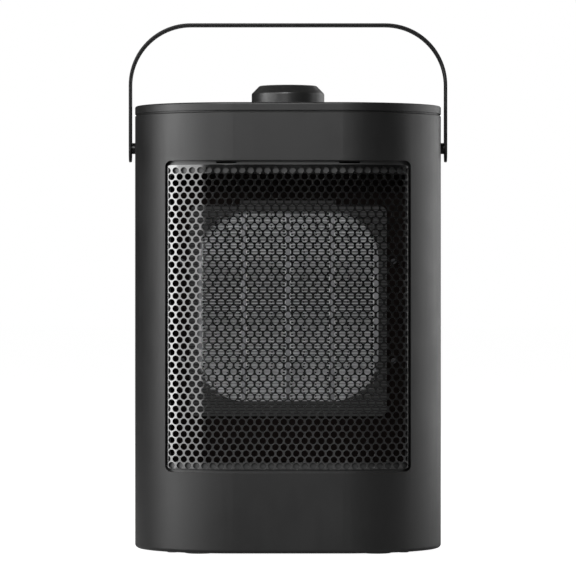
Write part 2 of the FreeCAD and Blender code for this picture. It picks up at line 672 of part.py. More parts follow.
def heater_core():
    """Five upright ceramic bars with a corrugated aluminium fin pack between each pair."""
    depth = ("core_front", "core_back")
    for index in range(5):
        middle = f"{index - 2} * bar_spacing"
        piece(box(f"ptc_bar_{index + 1}",
                  (f"{middle} - bar_thick / 2", f"{middle} + bar_thick / 2"), depth,
                  ("core_low", "core_high")))
    for index in range(4):
        fin_pack(f"fin_pack_{index + 1}", index - 2)


def fin_pack(label, place_index):
    """One aluminium strip folded back and forth between two bars."""
    left = size(f"{place_index} * bar_spacing + bar_thick / 2")
    right = size(f"{place_index + 1} * bar_spacing - bar_thick / 2")
    thick, pitch = size("fin_thick"), size("fin_pitch")
    low, high = size("core_low"), size("core_high")
    folds = int((high - low - thick) / pitch)
    base = low + (high - low - folds * pitch) / 2
    near, far = [], []
    for fold in range(folds + 1):
        height = base + fold * pitch
        last = fold == folds
        if fold % 2 == 0:
            near += [(left, height - thick / 2)] if fold == 0 else []
            near += [(left, height + thick / 2)]
            far += [(right, height - thick / 2)]
            near += [] if last else [(right - thick, height + thick / 2)]
            far += [(right, height + thick / 2)] if last else []
        else:
            near += [(right - thick, height - thick / 2), (left, height - thick / 2)]
            far += [(right, height + thick / 2)]
            far += [] if last else [(left + thick, height + thick / 2)]
            near += [(left, height + thick / 2)] if last else []
        if fold % 2 == 1 and not last:
            far += [(left + thick, height + pitch - thick / 2)]
    outline = far + near[::-1]
    front = size("core_front")
    points = [FreeCAD.Vector(across, front, up) for across, up in outline]
    strip = Part.Face(Part.makePolygon(points + points[:1]))
    fins = doc.addObject("Part::Feature", label)
    fins.Shape = strip.extrude(FreeCAD.Vector(0, size("core_back - core_front"), 0))
    fins.Placement = FreeCAD.Placement()
    piece(fins)


def heater_fittings():
    group("ptc_terminals", *(box(f"ptc_terminal_{index}",
                                 (f"{index - 2} * bar_spacing - tab_width / 2",
                                  f"{index - 2} * bar_spacing + tab_width / 2"),
                                 ("tab_depth - tab_thick", "tab_depth"),
                                 ("heater_low - tab_length", "heater_low"))
                             for index in (1, 2, 3)))
    seat = "heater_high + tab_rise"
    can = cylinder("cutoff_can", "cutoff_radius", "cutoff_height", "0", "cutoff_depth", seat)
    blades = [box(f"cutoff_blade_{name}",
                  (f"{sign} * cutoff_across - tab_thick", f"{sign} * cutoff_across"),
                  ("cutoff_depth - tab_width / 2", "cutoff_depth + tab_width / 2"),
                  (f"{seat} + cutoff_height - over",
                   f"{seat} + cutoff_height + cutoff_blade"))
              for name, sign in SIDES]
    piece(joined("thermal_cutoff", can, *blades))
    rest = "heater_high + fuse_radius"
    middle = cylinder("fuse_can", "fuse_radius", "fuse_length",
                      "fuse_place - fuse_length / 2", "tab_depth", rest, "x")
    lead = cylinder("fuse_lead", "lead_radius", "fuse_length + 2 * lead_length",
                    "fuse_place - fuse_length / 2 - lead_length", "tab_depth", rest, "x")
    piece(joined("thermal_fuse", middle, lead))
    screws("heater_screws", "heater_screw", [(across, "duct_back + flange_thick", up)
                                  for across, up in HEATER_SCREWS], "y")


# ---------------------------------------------------------------- fan
def fan_shroud():
    """A round duct between two square flanges; arms across its back carry the motor."""
    def flange(sketch):
        rounded(sketch, "-shroud_half", "shroud_half", "axis_level - shroud_half",
                "axis_level + shroud_half", "shroud_round")
    body = new_body("fan_shroud")
    pad(body, "y", "heater_back", "heater_back + shroud_flange", flange)
    pad(body, "y", "heater_back", "shroud_back",
        lambda sketch: circle(sketch, "bore_radius + shroud_wall", "0", "axis_level"))
    pad(body, "y", "plate_front", "shroud_back", flange)
    pocket(body, "y", "heater_back - over", "shroud_back + over",
           lambda sketch: circle(sketch, "bore_radius", "0", "axis_level"))
    pad(body, "y", "plate_front", "shroud_back",
        lambda sketch: circle(sketch, "plate_radius", "0", "axis_level"))
    pad(body, "y", "plate_front", "shroud_back",
        lambda sketch: rectangle(sketch, "-bore_radius - arm_lap", "bore_radius + arm_lap",
                                 "axis_level - arm_width / 2", "axis_level + arm_width / 2"))
    pad(body, "y", "plate_front", "shroud_back",
        lambda sketch: rectangle(sketch, "-arm_width / 2", "arm_width / 2",
                                 "axis_level - bore_radius - arm_lap",
                                 "axis_level + bore_radius + arm_lap"))
    pocket(body, "y", "plate_front - over", "shroud_back + over",
           lambda sketch: circle(sketch, "nose_radius", "0", "axis_level"))
    bolts = [(f"{sign} * motor_bolt", "axis_level") for _, sign in SIDES]
    pocket(body, "y", "plate_front - over", "shroud_back + over", spots("clear_radius", bolts))
    pocket(body, "y", "heater_back - over", "plate_front", spots("sink_radius", LUGS))
    pocket(body, "y", "plate_front - over", "shroud_back + over", spots("clear_radius", LUGS))
    screws("shroud_screws", "lug_screw",
           [(across, "plate_front", up) for across, up in LUGS], "-y")
    screws("motor_screws", "motor_screw",
           [(across, "plate_front", up) for across, up in bolts], "-y")


def fan_motor():
    bore = "shaft_radius + running_gap"
    end = "nose_length + motor_length"
    body = turned("fan_motor", [
        (bore, "0"), ("nose_radius", "0"), ("nose_radius", "nose_length"),
        ("motor_radius", "nose_length"), ("motor_radius", f"{end} - motor_bevel"),
        ("motor_radius - motor_bevel", end), ("tail_radius", end),
        ("tail_radius", f"{end} + tail_length"), ("0", f"{end} + tail_length"),
        ("0", f"{end} - motor_bevel"), (bore, f"{end} - motor_bevel")])
    bolts = [(f"{sign} * motor_bolt", "0") for _, sign in SIDES]
    pocket(body, "z", "nose_length - over", "nose_length + motor_thread", spots("pilot_radius", bolts))
    place(body, "0", "plate_front", "axis_level", "y")
    piece(cylinder("fan_shaft", "shaft_radius", "shaft_length", "0", "hub_front + hub_web",
                   "axis_level", "y"))


def fan_impeller():
    body = turned("fan_impeller", [
        ("0", "0"), ("hub_radius - hub_round", "0"), ("hub_radius", "hub_round"),
        ("hub_radius", "hub_length"), ("hub_radius - hub_wall", "hub_length"),
        ("hub_radius - hub_wall", "hub_round"), ("core_radius", "hub_round"),
        ("core_radius", "hub_length"), ("shaft_radius", "hub_length"),
        ("shaft_radius", "hub_web"), ("0", "hub_web")])
    middle = "hub_length / 2"
    blade = pad(body, "x", "blade_root", "blade_reach + over", lambda sketch: polygon(sketch, [
        ("-blade_half", f"{middle} - blade_rise"),
        ("-blade_half + blade_thick", f"{middle} - blade_rise"),
        ("blade_half", f"{middle} + blade_rise - blade_thick"),
        ("blade_half", f"{middle} + blade_rise"),
        ("blade_half - blade_thick", f"{middle} + blade_rise"),
        ("-blade_half", f"{middle} - blade_rise + blade_thick")]))
    doc.recompute()
    fan = body.newObject("PartDesign::PolarPattern", "fan_impeller_blades")
    fan.Originals = [blade]
    axis = next(item for item in body.Origin.OriginFeatures if item.Role == "Z_Axis")
    fan.Axis = (axis, [""])
    fan.Angle = 360
    fan.Occurrences = int(size("blade_count"))
    bind(fan, "Occurrences", "blade_count")
    body.Tip = fan

    def tip_ring(sketch):
        circle(sketch, "2 * bore_radius")
        circle(sketch, "blade_reach")
    pocket(body, "z", "-5 * over", "hub_length + 5 * over", tip_ring)
    place(body, "0", "hub_front", "axis_level", "y")


# ---------------------------------------------------------------- switch and knob
def rotary_switch():
    body = new_body("rotary_switch")
    pad(body, "z", "switch_low", "lid_under",
        lambda sketch: rounded(sketch, "-switch_half", "switch_half", "-switch_half",
                               "switch_half", "switch_round"))
    pad(body, "z", "lid_under", "neck_top", lambda sketch: circle(sketch, "neck_radius"))
    pocket(body, "z", "switch_low + switch_floor", "neck_top + over",
           lambda sketch: circle(sketch, "dial_shaft + running_gap"))
    group("switch_terminals", *(box(f"switch_terminal_{index}",
                                    (f"{index} * terminal_spot - tab_width / 2",
                                     f"{index} * terminal_spot + tab_width / 2"),
                                    (f"{deep} * terminal_spot",
                                     f"{deep} * terminal_spot + tab_thick"),
                                    ("switch_low - tab_length", "switch_low"))
                                for index in (-1, 1) for deep in (-1, 1)))
    nut = doc.addObject("Part::Prism", "switch_nut_blank")
    nut.Polygon = 6
    bind(nut, "Circumradius", "ring_nut")
    bind(nut, "Height", "ring_nut_thick")
    place(nut, up="lid_top")
    hole = cylinder("switch_nut_hole", "neck_radius", "ring_nut_thick + 2 * over", up="lid_top - over")
    piece(cut("switch_nut", nut, hole))
    rod = cylinder("switch_shaft_rod", "dial_shaft", "dial_top - dial_low", up="dial_low")
    flat = box("switch_shaft_flat", ("dial_flat", "dial_shaft + over"),
               ("-dial_shaft - over", "dial_shaft + over"), ("neck_top + over", "dial_top + over"))
    piece(cut("switch_shaft", rod, flat))


def control_knob():
    inner = "knob_radius - knob_skirt"

    def crown(bounds):
        return bounds.ZLength < 1e-3 and (level("knob_top")(bounds) or level("knob_side")(bounds))
    body = turned("control_knob", [
        ("0", "knob_top"), ("0", "dial_top"), ("dial_shaft", "dial_top"),
        ("dial_shaft", "boss_under"), ("knob_boss", "boss_under"),
        ("knob_boss", "knob_hollow"), (inner, "knob_hollow"), (inner, "knob_low"),
        ("knob_radius", "knob_low"), ("knob_radius", "knob_side"),
        ("knob_crown", "knob_top")], [("knob_round", crown)])
    span = ("-pointer_width / 2", "pointer_width / 2", "-pointer_end", "-pointer_start")
    pocket(body, "z", "knob_top - pointer_depth", "knob_top + over",
           lambda sketch: rectangle(sketch, *span))
    piece(box("knob_pointer", span[:2], span[2:], ("knob_top - pointer_depth", "knob_top")))


# ---------------------------------------------------------------- handle
def handle_strap():
    """A flat strap bent into a bail, with a pivot hole near each rounded end."""
    body = new_body("handle_strap")
    half = "strap_width / 2"
    inner = "strap_outer - strap_thick"
    pad(body, "y", f"-{half}", half,
        lambda sketch: rounded(sketch, "-strap_outer", "strap_outer", "0", "strap_top",
                               "strap_bend"))
    pocket(body, "y", f"-{half} - over", f"{half} + over",
           lambda sketch: rounded(sketch, f"-({inner})", inner, "strap_thick",
                                  "strap_top - strap_thick", "strap_bend - strap_thick"))
    pocket(body, "y", f"-{half} - over", f"{half} + over",
           lambda sketch: rectangle(sketch, "-strap_outer - over", "strap_outer + over", "-over",
                                    "strap_end"))
    end = level("strap_end")
    fillet(body, "end_round", lambda bounds: end(bounds) and bounds.XLength > 0.5
           and bounds.YLength < 1e-3)
    pocket(body, "x", "-strap_outer - over", "strap_outer + over",
           lambda sketch: circle(sketch, "shaft_radius", "0", "pivot_level"))
    side = size(half)
    fillet(body, "strap_round", lambda bounds: bounds.YLength < 1e-3
           and abs(abs(bounds.YMin) - side) < 1e-3)


def handle_pivots():
    """On each side a pin riveted to the strap turns in a bush, held by a clip and washer."""
    bore = "shaft_radius + running_gap"
    for side, sign in SIDES:
        along = "-x" if side == "left" else "x"
        pin_body = turned(f"handle_pivot_{side}", [
            ("0", "pin_inner"), ("shaft_radius", "pin_inner"), ("shaft_radius", "clip_low"),
            ("groove_radius", "clip_low"), ("groove_radius", "clip_high"),
            ("shaft_radius", "clip_high"), ("shaft_radius", "half_width + collar_gap"),
            ("collar_radius", "half_width + collar_gap"),
            ("collar_radius", "strap_outer - strap_thick"),
            ("shaft_radius", "strap_outer - strap_thick"), ("shaft_radius", "strap_outer"),
            ("0", "strap_outer")])
        bush = turned(f"pivot_bush_{side}", [
            (bore, "bush_inner"), ("bush_radius", "bush_inner"), ("bush_radius", "half_width"),
            (bore, "half_width")])
        washer = turned(f"friction_washer_{side}", [
            (bore, "washer_low"), ("washer_radius", "washer_low"),
            ("washer_radius", "bush_inner"), (bore, "bush_inner")])
        clip = turned(f"retaining_clip_{side}", [
            ("groove_radius", "clip_low"), ("clip_radius", "clip_low"),
            ("clip_radius", "clip_high"), ("groove_radius", "clip_high")])
        pocket(clip, "z", "clip_low - over", "clip_high + over",
               lambda sketch: rectangle(sketch, "-clip_mouth", "clip_mouth",
                                        "0", "clip_radius + over"))
        for item in (pin_body, bush, washer, clip):
            place(item, up="pivot_level", along=along)


# ---------------------------------------------------------------- base fittings
def tip_switch():
    """A plunger under the base closes a switch while the heater stands on a floor."""
    spot = ("tip_across", "tip_deep")
    guide = turned("plunger_guide", [
        ("plunger_radius + running_gap", "base_top"), ("guide_radius", "base_top"),
        ("guide_radius", "guide_top"), ("chamber_radius", "guide_top"),
        ("chamber_radius", "guide_step"), ("plunger_radius + running_gap", "guide_step")])
    plunger = turned("tip_plunger", [
        ("0", "0"), ("plunger_radius", "0"), ("plunger_radius", "flange_bottom"),
        ("flange_radius", "flange_bottom"), ("flange_radius", "flange_top"),
        ("stem_radius", "flange_top"), ("stem_radius", "stem_top"), ("0", "stem_top")],
        [("plunger_round", level("0"))])
    spring = new_body("tip_spring")
    coil = new_sketch(spring, "XZ_Plane", "0")
    circle(coil, "spring_wire", "spring_radius", "flange_top + spring_wire")
    helix = spring.newObject("PartDesign::AdditiveHelix", "tip_spring_helix")
    helix.Profile = coil
    helix.ReferenceAxis = (coil, ["V_Axis"])
    helix.Mode = "height-turns-angle"
    bind(helix, "Height", "guide_top - flange_top - 2 * spring_wire")
    bind(helix, "Turns", "spring_turns")
    for item in (guide, plunger, spring):
        place(item, *spot)
    half_long, half_deep = "switch_long / 2", "switch_deep / 2"
    case = box("tip_switch_case",
               (f"tip_across - {half_long}", f"tip_across + {half_long}"),
               (f"tip_deep - {half_deep}", f"tip_deep + {half_deep}"),
               ("guide_top", "guide_top + switch_tall"))
    hole = cylinder("tip_switch_hole", "stem_radius + 2 * play", "switch_tall - switch_roof", *spot,
                    "guide_top - over")
    piece(cut("tip_switch", case, hole))


def cord_inlet():
    neck = "gland_length"
    gland = turned("cord_gland", [
        ("gland_bore", "0"), ("gland_neck", "0"), ("gland_neck", f"{neck} - flange_sink"),
        ("gland_flange", f"{neck} - flange_sink"), ("gland_flange", neck),
        ("gland_bore", neck)])
    place(gland, "0", f"half_depth - {neck}", "gland_level", "y")
    nut = doc.addObject("Part::Prism", "gland_nut_blank")
    nut.Polygon = 6
    bind(nut, "Circumradius", "nut_radius")
    bind(nut, "Height", "nut_thick")
    place(nut, "0", "half_depth - wall - nut_thick", "gland_level", "y")
    hole = cylinder("gland_nut_hole", "gland_neck", "nut_thick + 2 * over", "0",
                    "half_depth - wall - nut_thick - over", "gland_level", "y")
    piece(cut("gland_nut", nut, hole))


def terminal_block():
    case = box("terminal_block_case", ("block_start", "block_start + block_long"),
               ("block_front", "block_front + block_deep"),
               ("base_top", "base_top + block_tall"))
    wells = [cylinder(f"terminal_well_{index}", "block_screw", "block_tall",
                      f"block_start + block_long * {2 * index - 1} / (2 * well_count)",
                      "block_front + block_deep / 2", "base_top + block_tall / 2")
             for index in range(1, 5)]
    piece(cut("terminal_block", case, *wells))


def wiring():
    """Insulated wires from the terminal block to the switch, the heater and the motor."""
    def well(index):
        return (f"block_start + block_long * {2 * index - 1} / (2 * well_count)",
                "block_front + block_deep / 2", "base_top + block_tall / 2")
    blade_end, heater_end = "switch_low - tab_length", "heater_low - tab_length"
    blade = "tab_depth - tab_thick / 2"
    contact = "-terminal_spot + tab_thick / 2"
    routes = [
        [well(1), (well(1)[0], well(1)[1], "wire_start"),
         ("wire_across", "wire_front", "wire_start"),
         ("wire_across", "wire_front", "wire_high"), ("terminal_spot", contact, "wire_high"),
         ("terminal_spot", contact, blade_end)],
        [("-terminal_spot", contact, blade_end), ("-terminal_spot", contact, "wire_next"),
         ("-wire_across", "wire_front", "wire_next"), ("-wire_across", "wire_front", "heater_wire"),
         ("-bar_spacing", blade, "heater_wire"), ("-bar_spacing", blade, heater_end)],
        [well(4), (well(4)[0], well(4)[1], "return_wire"), ("bar_spacing", blade, "return_wire"),
         ("bar_spacing", blade, heater_end)],
        [well(3), (well(3)[0], well(3)[1], "motor_wire"), (well(3)[0], "wire_back", "motor_wire"),
         ("0", "wire_back", "motor_wire"), ("0", "wire_back", "axis_level - motor_radius")],
    ]
    radius, wires = size("wire_radius"), []
    for route in routes:
        points = [FreeCAD.Vector(*(size(text) for text in point)) for point in route]
        runs = [Part.makeCylinder(radius, (far - near).Length, near, far - near)
                for near, far in zip(points, points[1:])]
        bends = [Part.makeSphere(radius, point) for point in points[1:-1]]
        wires.append(runs[0].fuse(runs[1:] + bends).removeSplitter())
    harness = doc.addObject("Part::Feature", "wiring")
    harness.Shape = Part.makeCompound(wires)
    harness.Placement = FreeCAD.Placement()
    piece(harness)


# ---------------------------------------------------------------- build, check and write
front_shell()
rear_shell()
rear_grille()
intake_filter()
top_lid()
base_cover()
foot_pads()
front_grille()
grille_frame()
outlet_duct()
heater_frame()
heater_core()
heater_fittings()
fan_shroud()
fan_motor()
fan_impeller()
rotary_switch()
control_knob()
handle_strap()
handle_pivots()
tip_switch()
cord_inlet()
terminal_block()
wiring()
screws("shell_screws", "shell_screw",
       [(across, "sink_floor", up) for across, up in SHELL_BOSSES], "y")
doc.recompute()

for thing in doc.Objects:
    if "Invalid" in thing.State or "Error" in thing.State:
        raise RuntimeError(f"{thing.Name} failed: {thing.State}")
    if thing.TypeId == "PartDesign::Pocket":
        if thing.Shape.Volume >= thing.BaseFeature.Shape.Volume - 1e-6:
            raise RuntimeError(f"{thing.Name} cuts nothing")

os.makedirs("parts", exist_ok=True)
for label in PIECES:
    shape = doc.getObjectsByLabel(label)[0].Shape
    if shape.isNull() or not shape.isValid():
        raise RuntimeError(f"{label} has no valid shape")
    shape.exportStep(f"parts/{label}.step")
    print(f"{label:24s} {len(shape.Solids)} solids {shape.Volume / 1000:9.2f} cm3")
print(len(PIECES), "pieces")
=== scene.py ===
"""Looks of the ceramic space heater: materials, printed signs, fin tongues, light and camera.

Sizes are in metres, in the frame of the CAD. The heater stands on Z = 0 and faces -Y. The shapes
added here are worked out in millimetres, from the boxes of the CAD nodes that they sit on.
"""

import json
import math

import bpy
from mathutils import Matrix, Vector


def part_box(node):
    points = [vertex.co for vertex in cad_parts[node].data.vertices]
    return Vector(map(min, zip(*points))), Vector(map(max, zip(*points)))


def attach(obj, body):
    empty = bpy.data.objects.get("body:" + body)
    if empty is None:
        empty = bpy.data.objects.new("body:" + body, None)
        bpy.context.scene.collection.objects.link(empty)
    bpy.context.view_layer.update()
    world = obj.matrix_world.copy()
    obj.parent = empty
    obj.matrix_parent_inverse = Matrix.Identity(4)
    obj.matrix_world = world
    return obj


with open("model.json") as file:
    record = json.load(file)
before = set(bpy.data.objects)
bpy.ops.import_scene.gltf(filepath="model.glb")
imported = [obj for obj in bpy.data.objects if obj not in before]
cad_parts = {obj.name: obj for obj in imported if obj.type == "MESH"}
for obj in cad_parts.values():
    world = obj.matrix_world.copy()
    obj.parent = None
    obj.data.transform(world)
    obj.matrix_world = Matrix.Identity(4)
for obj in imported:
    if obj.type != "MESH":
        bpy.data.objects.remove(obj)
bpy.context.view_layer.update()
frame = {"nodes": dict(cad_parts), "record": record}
MM = 0.001
DUST_TONE = (0.32, 0.30, 0.27, 1.0)
FLUFF_TONE = (0.14, 0.13, 0.12, 1.0)
BARE_STEEL = (0.16, 0.155, 0.15, 1.0)
LAMP_AIM = Vector((0.0, 0.0, 0.13))


# ---------------------------------------------------------------- node helpers
class Tree:
    """Adds nodes to one node tree; a socket given as a value is linked."""

    def __init__(self, tree):
        self.tree = tree

    def add(self, kind, values=None, **settings):
        node = self.tree.nodes.new("ShaderNode" + kind)
        for name, setting in settings.items():
            setattr(node, name, setting)
        for socket, value in (values or {}).items():
            if isinstance(value, bpy.types.NodeSocket):
                self.tree.links.new(value, node.inputs[socket])
            else:
                node.inputs[socket].default_value = value
        return node

    def math(self, operation, first, second=0.0):
        return self.add("Math", {0: first, 1: second}, operation=operation).outputs[0]

    def ramp(self, value, low, high, to_low=0.0, to_high=1.0):
        """Carries the value from one range to another, and holds it at the ends."""
        return self.add("MapRange", {"Value": value, "From Min": low, "From Max": high,
                                     "To Min": to_low, "To Max": to_high},
                        clamp=True).outputs["Result"]

    def mix(self, mask, first, second):
        """The first colour where the mask is 0, the second where it is 1."""
        return self.add("Mix", {0: mask, 6: first, 7: second}, data_type="RGBA").outputs[2]

    def place(self):
        return self.add("TexCoord").outputs["Object"]

    def height(self):
        """How far up the heater a point is."""
        return self.add("SeparateXYZ", {0: self.place()}).outputs["Z"]

    def noise(self, size, detail=3.0, rough=0.5, stretch=(1, 1, 1)):
        """Noise whose features are about size metres across."""
        spot = self.add("Mapping", {"Vector": self.place(), "Scale": stretch}).outputs[0]
        given = isinstance(size, bpy.types.NodeSocket)
        scale = self.math("DIVIDE", 1.0, size) if given else 1 / size
        return self.add("TexNoise", {"Vector": spot, "Scale": scale, "Detail": detail,
                                     "Roughness": rough}).outputs["Fac"]

    def use(self, group, **values):
        """Places a shared effect with its own values."""
        node = self.add("Group", node_tree=group)
        for name, value in values.items():
            node.inputs[name].default_value = value
        return node.outputs


def effect(name, inputs, outputs):
    """An empty shader node group with named sockets, each given as (name, type, default)."""
    tree = bpy.data.node_groups.new(name, "ShaderNodeTree")
    for direction, sockets in (("INPUT", inputs), ("OUTPUT", outputs)):
        for label, kind, default in sockets:
            socket = tree.interface.new_socket(label, in_out=direction,
                                               socket_type="NodeSocket" + kind)
            socket.default_value = default
    made = Tree(tree)
    source = tree.nodes.new("NodeGroupInput")
    sink = tree.nodes.new("NodeGroupOutput")
    return tree, made, source.outputs, sink.inputs


# ---------------------------------------------------------------- shared effects
def moulded_grain():
    """Fine spark-eroded grain of a plastic moulding, as a height."""
    tree, made, given, out = effect("moulded_grain", [("Size", "Float", 0.0004),
                                                      ("Patchiness", "Float", 0.3)],
                                    [("Height", "Float", 0.0)])
    fine = made.noise(given["Size"], detail=2.0, rough=0.6)
    cells = made.add("TexVoronoi", {"Vector": made.place(),
                                    "Scale": made.math("DIVIDE", 0.7, given["Size"])},
                     feature="SMOOTH_F1").outputs["Distance"]
    patch = made.ramp(made.noise(0.02), 0.3, 0.7, 1.0, 0.0)
    depth = made.math("SUBTRACT", 1.0, made.math("MULTIPLY", patch, given["Patchiness"]))
    mixed = made.math("ADD", fine, made.math("MULTIPLY", cells, 0.6))
    tree.links.new(made.math("MULTIPLY", mixed, depth), out["Height"])
    return tree


def worn_edges():
    """Where outer corners have been rubbed, as a mask that noise breaks up."""
    tree, made, given, out = effect("worn_edges", [("Width", "Float", 0.0006),
                                                   ("Amount", "Float", 0.5)],
                                    [("Mask", "Float", 0.0)])
    soft = made.add("Bevel", {"Radius": given["Width"]}, samples=4).outputs[0]
    sharp = made.add("NewGeometry").outputs["Normal"]
    turn = made.add("VectorMath", {0: soft, 1: sharp}, operation="DOT_PRODUCT").outputs["Value"]
    edge = made.ramp(turn, 0.995, 0.86)
    chips = made.ramp(made.noise(0.0022, detail=5.0, rough=0.65), 0.36, 0.62)
    mask = made.math("MULTIPLY", made.math("MULTIPLY", edge, chips), given["Amount"])
    tree.links.new(mask, out["Mask"])
    return tree


def handling_marks():
    """Broad smudges and fine wiping streaks, as a mask around 0.5."""
    tree, made, given, out = effect("handling_marks", [("Size", "Float", 0.03),
                                                       ("Streaks", "Float", 0.4)],
                                    [("Mask", "Float", 0.5)])
    smudge = made.ramp(made.noise(given["Size"], detail=4.0, rough=0.6), 0.3, 0.7)
    streak = made.ramp(made.noise(0.002, detail=3.0, stretch=(1.0, 1.0, 0.06)), 0.3, 0.7)
    both = made.math("ADD", smudge, made.math("MULTIPLY", streak, given["Streaks"]))
    whole = made.math("DIVIDE", both, made.math("ADD", 1.0, given["Streaks"]))
    tree.links.new(whole, out["Mask"])
    return tree


def settled_dust():
    """A thin scatter of dust on faces that look up, as a mask."""
    tree, made, given, out = effect("settled_dust", [("Amount", "Float", 0.3)],
                                    [("Mask", "Float", 0.0)])
    normal = made.add("NewGeometry").outputs["Normal"]
    up = made.add("SeparateXYZ", {0: normal}).outputs["Z"]
    cloud = made.ramp(made.noise(0.012, detail=5.0, rough=0.7), 0.42, 0.72)
    specks = made.ramp(made.noise(0.0007, detail=1.0), 0.62, 0.7)
    soil = made.math("ADD", made.math("MULTIPLY", cloud, 0.5), specks)
    mask = made.math("MULTIPLY", made.math("MULTIPLY", made.ramp(up, 0.3, 0.9), soil),
                     given["Amount"])
    tree.links.new(mask, out["Mask"])
    return tree


def drawn_lines():
    """Fine lines along one axis, as rolled, drawn or turned metal shows, as a height."""
    tree, made, given, out = effect("drawn_lines", [("Along", "Vector", (1.0, 1.0, 0.02)),
                                                    ("Size", "Float", 0.0003)],
                                    [("Height", "Float", 0.0)])
    spot = made.add("VectorMath", {0: made.place(), 1: given["Along"]}, operation="MULTIPLY")
    scale = made.math("DIVIDE", 1.0, given["Size"])
    lines = made.add("TexNoise", {"Vector": spot.outputs[0], "Scale": scale, "Detail": 4.0,
                                  "Roughness": 0.7}).outputs["Fac"]
    tree.links.new(lines, out["Height"])
    return tree


GRAIN, WEAR, MARKS = moulded_grain(), worn_edges(), handling_marks()
DUST, LINES = settled_dust(), drawn_lines()


# ---------------------------------------------------------------- materials
def new_material(name):
    """A material with only its shader in it."""
    material = bpy.data.materials.new(name)
    material.use_nodes = True
    material.node_tree.nodes.clear()
    made = Tree(material.node_tree)
    shader = made.add("BsdfPrincipled")
    output = made.add("OutputMaterial")
    made.tree.links.new(shader.outputs[0], output.inputs["Surface"])
    return material, made, shader


def grey(value):
    return (value, value, value, 1.0)


def scaled(colour, factor, lift=0.0):
    """The colour made lighter or darker, and kept within what a surface can reflect."""
    return tuple(min(1.0, part * factor + lift) for part in colour[:3]) + (1.0,)


def join(made, shader, colour, roughness, height, relief, metallic=0.0, rounding=0.0):
    """Feeds a material's colour, roughness and relief to its shader."""
    made.tree.links.new(colour, shader.inputs["Base Color"])
    made.tree.links.new(roughness, shader.inputs["Roughness"])
    bump = made.add("Bump", {"Height": height, "Strength": 1.0, "Distance": relief})
    if rounding:
        made.tree.links.new(made.add("Bevel", {"Radius": rounding}, samples=4).outputs[0],
                            bump.inputs["Normal"])
    made.tree.links.new(bump.outputs[0], shader.inputs["Normal"])
    shader.inputs["Metallic"].default_value = metallic


def plastic(name, colour, roughness, grain=0.0004, worn=0.4, dusty=0.25, specular=0.5,
            groove_shade_pitch=0.0):
    """Moulded plastic: grained, smudged, slightly mottled, polished on its corners.

    Given a pitch, dark level lines of that spacing are painted into its colour: painted shade
    standing for grooves.
    """
    mottle, relief, rounding = 0.12, 0.00001, 0.0003
    material, made, shader = new_material(name)
    cloud = made.noise(0.014, detail=4.0)
    base = made.mix(cloud, scaled(colour, 1 - mottle), scaled(colour, 1 + mottle))
    edge = made.use(WEAR, Amount=worn)["Mask"]
    base = made.mix(edge, base, scaled(colour, 1.9, lift=0.012))
    dust = made.use(DUST, Amount=dusty)["Mask"]
    base = made.mix(made.math("MULTIPLY", dust, 0.35), base, DUST_TONE)
    # painted shade: near-black level lines at the pitch stand for the shade in grooves that the
    # mesh does not have
    if groove_shade_pitch:
        wave = made.math("SINE", made.math("MULTIPLY", made.height(), 2 * math.pi / groove_shade_pitch))
        base = made.mix(made.ramp(wave, -0.5, 0.3), grey(0.002), base)
    marks = made.use(MARKS)["Mask"]
    rough = made.ramp(marks, 0.0, 1.0, roughness - 0.05, roughness + 0.06)
    rough = made.math("ADD", rough, made.math("MULTIPLY", dust, 0.3))
    rough = made.math("SUBTRACT", rough, made.math("MULTIPLY", edge, 0.1))
    height = made.use(GRAIN, Size=grain)["Height"]
    join(made, shader, base, rough, height, relief, rounding=rounding)
    shader.inputs["Specular IOR Level"].default_value = specular
    return material


def metal(name, colour, roughness, along=(1.0, 1.0, 0.02), painted_shade_height=0.0):
    """Bare metal with drawn lines, cloudy tarnish and a brighter rubbed edge.

    Given a height, its colour is darkened around that height as painted shade.
    """
    spread, relief, rounding = 0.08, 0.000004, 0.00015
    material, made, shader = new_material(name)
    lines = made.use(LINES, Along=along)["Height"]
    cloud = made.ramp(made.noise(0.006, detail=5.0, rough=0.6), 0.3, 0.7)
    base = made.mix(made.math("MULTIPLY", cloud, 0.55), colour, scaled(colour, 0.72))
    edge = made.use(WEAR, Width=0.0004, Amount=0.6)["Mask"]
    base = made.mix(edge, base, scaled(colour, 1.15))
    if painted_shade_height:
        # painted shade: the colour turns grey around the given height
        away = made.math("ABSOLUTE", made.math("SUBTRACT", made.height(), painted_shade_height))
        base = made.mix(made.ramp(away, 0.008, 0.05), grey(0.26), base)
    rough = made.ramp(made.math("ADD", made.math("MULTIPLY", lines, 0.5),
                                made.math("MULTIPLY", cloud, 0.5)), 0.2, 0.8,
                      roughness - spread, roughness + spread)
    join(made, shader, base, rough, lines, relief, metallic=1.0, rounding=rounding)
    return material


def powder_coat(name, colour, roughness, relief=0.000012, coat=0.0, chips=0.25,
                rounding=0.0003, coat_roughness=0.1, specular=0.5):
    """Baked powder paint on steel: orange peel, smudges and a few bare rubbed corners."""
    peel_size = 0.0011
    material, made, shader = new_material(name)
    cloud = made.noise(0.02, detail=3.0)
    base = made.mix(cloud, scaled(colour, 0.85), scaled(colour, 1.15))
    edge = made.use(WEAR, Width=0.0004, Amount=chips)["Mask"]
    base = made.mix(edge, base, BARE_STEEL)
    dust = made.use(DUST, Amount=0.25)["Mask"]
    base = made.mix(made.math("MULTIPLY", dust, 0.3), base, DUST_TONE)
    marks = made.use(MARKS, Size=0.02)["Mask"]
    rough = made.ramp(marks, 0.0, 1.0, roughness - 0.04, roughness + 0.06)
    rough = made.math("ADD", rough, made.math("MULTIPLY", dust, 0.3))
    peel = made.noise(peel_size, detail=1.5, rough=0.4)
    join(made, shader, base, rough, peel, relief, rounding=rounding)
    shader.inputs["Specular IOR Level"].default_value = specular
    shader.inputs["Coat Weight"].default_value = coat
    shader.inputs["Coat Roughness"].default_value = coat_roughness
    return material


